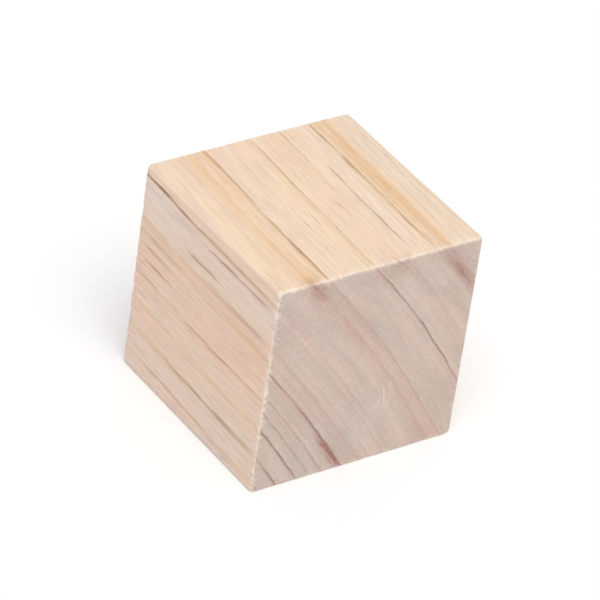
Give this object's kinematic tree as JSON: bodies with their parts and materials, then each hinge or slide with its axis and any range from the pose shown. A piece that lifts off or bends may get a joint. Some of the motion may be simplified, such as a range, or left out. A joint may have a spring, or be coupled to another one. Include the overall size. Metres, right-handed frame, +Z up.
{
  "type": "wooden cube",
  "caption": "Plain solid pine cube with lightly eased edges and blunted corners; the grain runs front to back, so the front and back show end grain.",
  "frame": {"origin": "centre of the underside, on the surface that the cube rests on", "axes": "+Z up; the grain runs along Y, with -Y the front crosscut end and +Y the back one; +X to the right"},
  "size_m": [0.038, 0.038, 0.038],
  "materials": {
    "pine": "matte"
  },
  "bodies": {
    "root": {"wooden_cube": "pine"}
  },
  "joints": []
}
